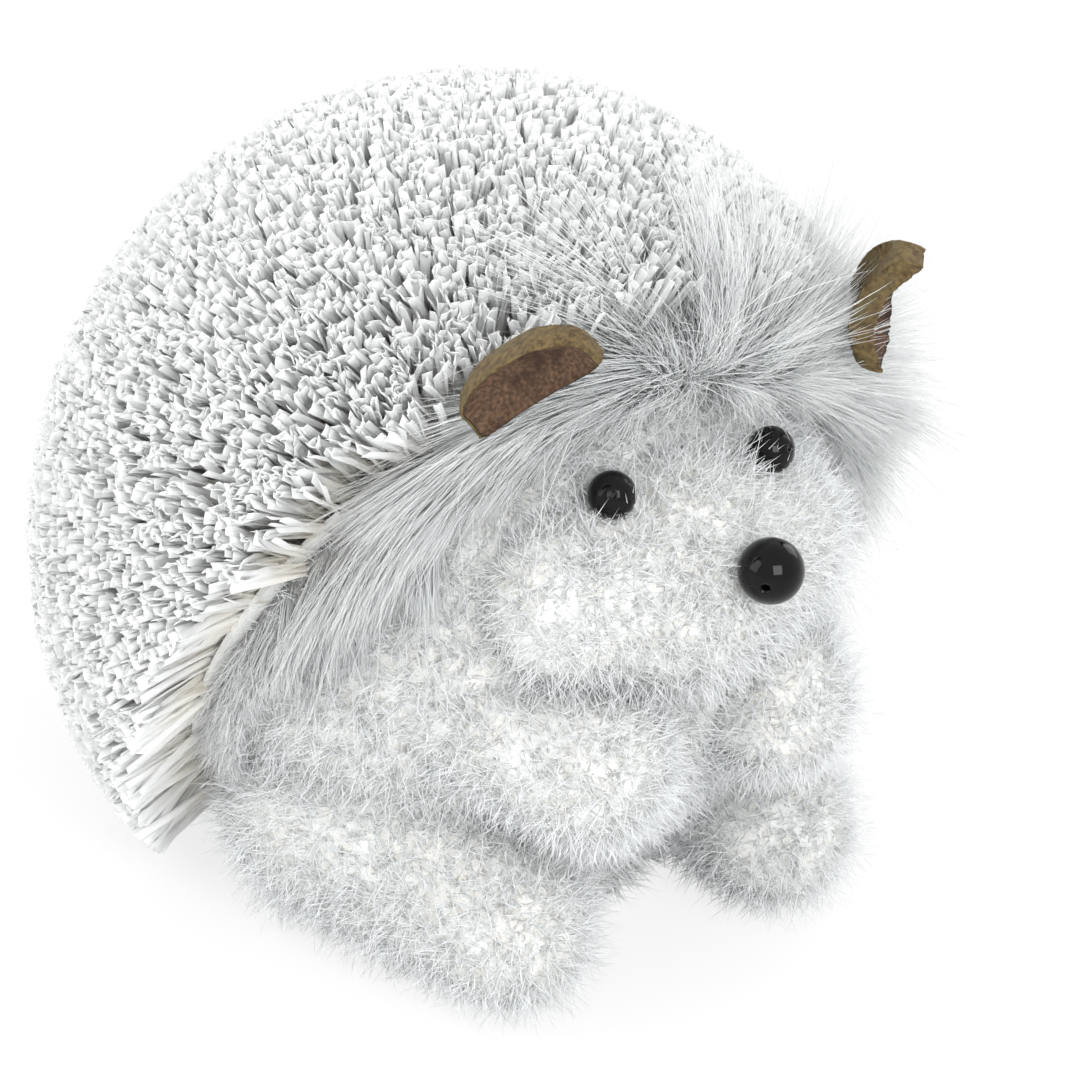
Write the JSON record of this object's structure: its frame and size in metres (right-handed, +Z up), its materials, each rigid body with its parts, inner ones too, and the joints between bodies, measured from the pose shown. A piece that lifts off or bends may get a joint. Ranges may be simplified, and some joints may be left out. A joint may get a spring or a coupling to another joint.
{
  "type": "hedgehog figurine",
  "caption": "Sitting white hedgehog ornament with a coat of paper quills in rings, short fur, a long-pile ruff, seed-pod ears and bead eyes and nose.",
  "frame": {"origin": "centre of the felt under the foot, on the surface that the figurine stands on", "axes": "+Z up, the animal faces -Y and its left side is +X"},
  "size_m": [0.173, 0.1726, 0.1561],
  "materials": {
    "foam": "bare moulded foam",
    "felt": "pressed felt",
    "short_fur": "short frosty pile",
    "long_fur": "long silky pile",
    "selvedge": "woven edge",
    "quills": "matt paper ribbon, cut square",
    "pod": "dried seed pod, dull",
    "bead": "glossy black, opaque"
  },
  "bodies": {
    "root": {"base_felt": "felt", "body_core": "foam", "body_fur": "short_fur", "head_core": "foam", "head_fur": "short_fur", "left_arm_core": "foam", "left_arm_fur": "short_fur", "left_ear": "pod", "left_eye": "bead", "left_leg_core": "foam", "left_leg_fur": "short_fur", "nose": "bead", "quill_crown": "quills", "quill_row_01": "quills", "quill_row_02": "quills", "quill_row_03": "quills", "quill_row_04": "quills", "quill_row_05": "quills", "quill_row_06": "quills", "quill_row_07": "quills", "quill_row_08": "quills", "quill_row_09": "quills", "quill_row_10": "quills", "quill_row_11": "quills", "right_arm_core": "foam", "right_arm_fur": "short_fur", "right_ear": "pod", "right_eye": "bead", "right_leg_core": "foam", "right_leg_fur": "short_fur", "ruff_fur": "long_fur", "ruff_selvedge": "selvedge", "rump_fur": "short_fur"}
  },
  "joints": []
}
